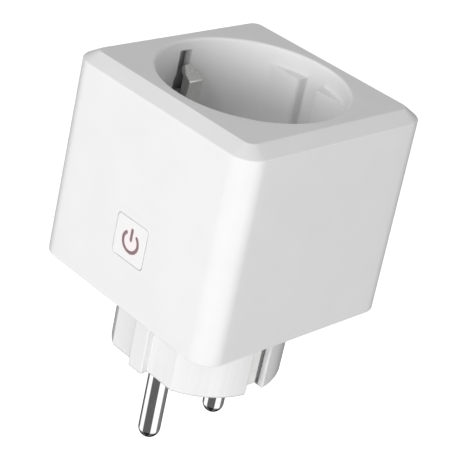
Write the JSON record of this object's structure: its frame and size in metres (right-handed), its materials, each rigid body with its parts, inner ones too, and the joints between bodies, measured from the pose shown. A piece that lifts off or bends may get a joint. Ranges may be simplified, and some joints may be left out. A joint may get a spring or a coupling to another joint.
{
  "type": "smart plug",
  "caption": "Square smart plug-in adapter with a round recessed earthed outlet, a square power button and a round two-pin plug with side earth contacts.",
  "frame": {"origin": "centre of the housing's wall-side face, on the axis of plug and outlet", "axes": "+Z from the wall towards the outlet opening; the power button is on the -Y side and the plug pins lie along Y"},
  "size_m": [0.0512, 0.0512, 0.0832],
  "materials": {
    "white_plastic": "satin moulded polycarbonate",
    "button_white": "glossy moulded polycarbonate",
    "symbol_smoke": "smoky translucent light guide",
    "inner_plastic": "matt moulded plastic",
    "nickel": "bright nickel plating on brass",
    "brass": "stamped sheet",
    "copper": "stamped copper sheet",
    "steel": "zinc-plated steel",
    "board_green": "solder-masked laminate",
    "board_blue": "solder-masked laminate",
    "case_black": "moulded case",
    "case_ochre": "moulded case",
    "sleeve_navy": "shrink sleeve",
    "disc_blue": "epoxy dip",
    "resistor_green": "ceramic coating",
    "key_red": "moulded plunger",
    "light_lens": "clear epoxy"
  },
  "bodies": {
    "housing": {"outer_housing": "white_plastic", "outlet_well": "white_plastic", "plug_base": "white_plastic", "pin_line": "nickel", "pin_neutral": "nickel", "earth_bracket_left": "nickel", "earth_bracket_right": "nickel", "earth_bridge": "copper", "bridge_rivet_left": "nickel", "bridge_rivet_right": "nickel", "contact_carrier": "inner_plastic", "shutter_spring": "steel", "carrier_screw_left": "steel", "carrier_screw_right": "steel", "board_screw_left": "steel", "board_screw_right": "steel", "outlet_contact_line": "brass", "outlet_contact_neutral": "brass", "key_board": "board_green", "switch_body": "case_black", "status_light_left": "light_lens", "status_light_right": "light_lens", "main_board": "board_green", "line_busbar": "copper", "neutral_busbar": "copper", "current_shunt": "copper", "relay": "case_black", "film_capacitor": "case_ochre", "can_capacitor_large": "sleeve_navy", "can_capacitor_small": "sleeve_navy", "power_choke": "case_black", "surge_varistor": "disc_blue", "fusible_resistor": "resistor_green", "converter_chip": "case_black", "metering_chip": "case_black", "bridge_rectifier": "case_black", "radio_board": "board_blue", "radio_shield": "steel"},
    "button": {"power_button": "button_white", "light_guide": "symbol_smoke"},
    "switch_plunger": {"switch_plunger": "key_red"},
    "shutter": {"safety_shutter": "inner_plastic"},
    "clip_left": {"earth_clip_left": "nickel"},
    "clip_right": {"earth_clip_right": "nickel"}
  },
  "joints": [
    {"name": "button_press", "type": "slide", "parent": "housing", "child": "button", "axis": [0, 1, 0], "range_m": [0, 0.0005], "stiffness_N_per_m": 3000, "springref_m": -0.0003},
    {"name": "plunger_press", "type": "slide", "parent": "housing", "child": "switch_plunger", "axis": [0, 1, 0], "range_m": [0, 0.0005]},
    {"name": "shutter_turn", "type": "hinge", "parent": "housing", "child": "shutter", "pos_m": [0, 0, 0.0255], "axis": [0, 0, -1], "range_deg": [0, 45], "stiffness_Nm_per_rad": 0.01, "springref_deg": -17.19},
    {"name": "clip_left_flex", "type": "hinge", "parent": "housing", "child": "clip_left", "pos_m": [-0.0212, 0, 0.0292], "axis": [0, -1, 0], "range_deg": [0, 5], "stiffness_Nm_per_rad": 0.6, "springref_deg": -2.86},
    {"name": "clip_right_flex", "type": "hinge", "parent": "housing", "child": "clip_right", "pos_m": [0.0212, 0, 0.0292], "axis": [0, 1, 0], "range_deg": [0, 5], "stiffness_Nm_per_rad": 0.6, "springref_deg": -2.86}
  ],
  "couplings": [
    {"joint": "plunger_press", "follows": "button_press", "ratio": 1}
  ]
}
